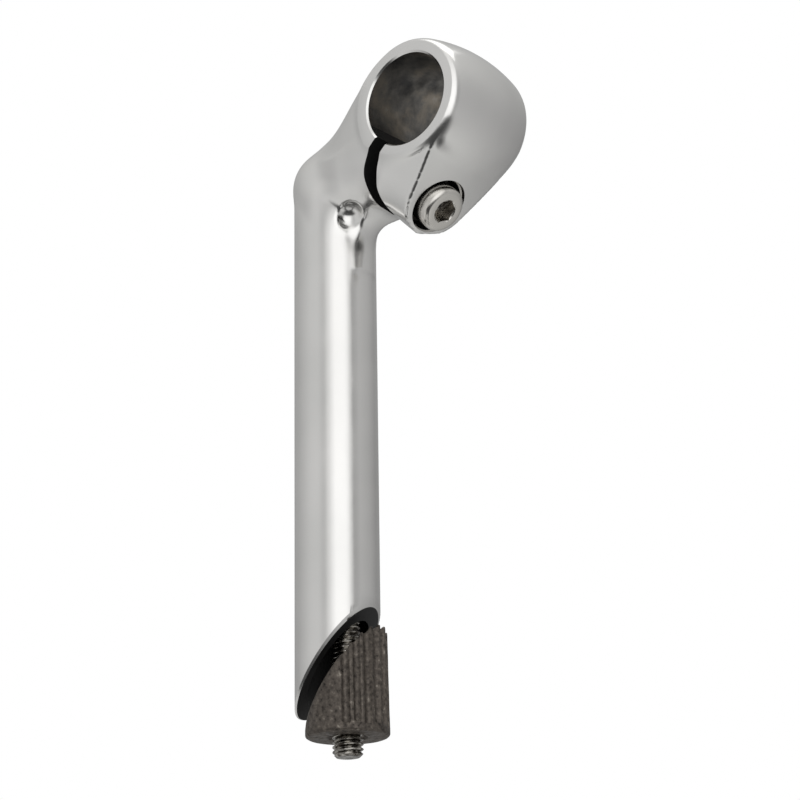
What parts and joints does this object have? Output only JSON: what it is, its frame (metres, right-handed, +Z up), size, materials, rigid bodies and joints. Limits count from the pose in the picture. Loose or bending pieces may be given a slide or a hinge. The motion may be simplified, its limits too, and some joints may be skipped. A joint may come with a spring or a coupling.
{
  "type": "handlebar stem",
  "caption": "Quill handlebar stem with a split clamp, a recessed clamp bolt and a wedge expander drawn up by a long bolt.",
  "frame": {"origin": "on the quill's axis at the minimum insertion level, 62.7 mm above the tip of the quill's oblique cut", "axes": "+Z up the quill, +X forward to the handlebar clamp, Y along the handlebar"},
  "size_m": [0.0674, 0.032, 0.1848],
  "materials": {
    "polished_aluminium": "polished, lightly worn",
    "plated_washer": "zinc plated",
    "expander_bolt_steel": "bright steel, dull in the thread",
    "cast_iron": "rough as cast, oily brown",
    "clamp_bolt_steel": "bright plated"
  },
  "bodies": {
    "stem": {"stem_body": "polished_aluminium"},
    "expander_seat": {"expander_washer": "plated_washer"},
    "expander_bolt": {"expander_bolt": "expander_bolt_steel"},
    "wedge": {"wedge": "cast_iron"},
    "clamp_washer": {"clamp_washer": "plated_washer"},
    "clamp_bolt": {"clamp_bolt": "clamp_bolt_steel"}
  },
  "joints": [
    {"name": "expander_bolt_tilt", "type": "hinge", "parent": "stem", "child": "expander_seat", "pos_m": [0, 0, 0.09215], "axis": [0, 1, 0], "range_deg": [-0.4, 1.13]},
    {"name": "expander_bolt_turn", "type": "hinge", "parent": "expander_seat", "child": "expander_bolt", "pos_m": [0, 0, 0.09215], "axis": [-0.0197, 0, 0.9998], "range_deg": [-1080, 2880]},
    {"name": "wedge_travel", "type": "slide", "parent": "expander_seat", "child": "wedge", "axis": [0.0197, 0, -0.9998], "range_m": [-0.0041, 0.0108]},
    {"name": "clamp_bolt_backout", "type": "slide", "parent": "stem", "child": "clamp_washer", "axis": [0.7071, 0, -0.7071], "range_m": [0, 0.01251]},
    {"name": "clamp_bolt_turn", "type": "hinge", "parent": "clamp_washer", "child": "clamp_bolt", "pos_m": [0.0354, 0, 0.0691], "axis": [0.7071, 0, -0.7071], "range_deg": [0, 3600]}
  ],
  "couplings": [
    {"joint": "wedge_travel", "follows": "expander_bolt_turn", "m_per_rad": 0.00019894},
    {"joint": "clamp_bolt_backout", "follows": "clamp_bolt_turn", "m_per_rad": 0.00019894}
  ]
}
